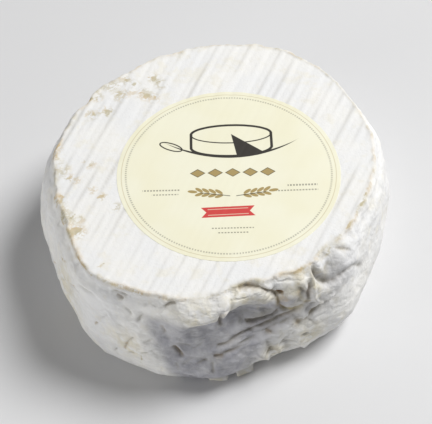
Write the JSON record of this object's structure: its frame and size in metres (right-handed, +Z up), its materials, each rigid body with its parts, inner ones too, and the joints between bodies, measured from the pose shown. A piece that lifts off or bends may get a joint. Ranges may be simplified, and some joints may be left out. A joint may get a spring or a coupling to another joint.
{
  "type": "triple cream cheese wheel",
  "caption": "Whole wheel of soft white-rinded triple cream cheese with a ridged top, a slumped and wrinkled side, and a round pale yellow paper label stuck on top.",
  "frame": {"origin": "on the table, under the middle of the wheel's bounding box", "axes": "+Z up through the label; -Y is the front, where the rind has slumped into a lip; +X is to the right of that front"},
  "size_m": [0.1979, 0.204, 0.0672],
  "materials": {
    "rind": "matt white mould bloom, felt-like, with tan rubbed spots along the rim and greyer folds",
    "label_paper": "pale yellow uncoated paper with a plain printed design"
  },
  "bodies": {
    "root": {"cheese_wheel": "rind", "top_label": "label_paper"}
  },
  "joints": []
}
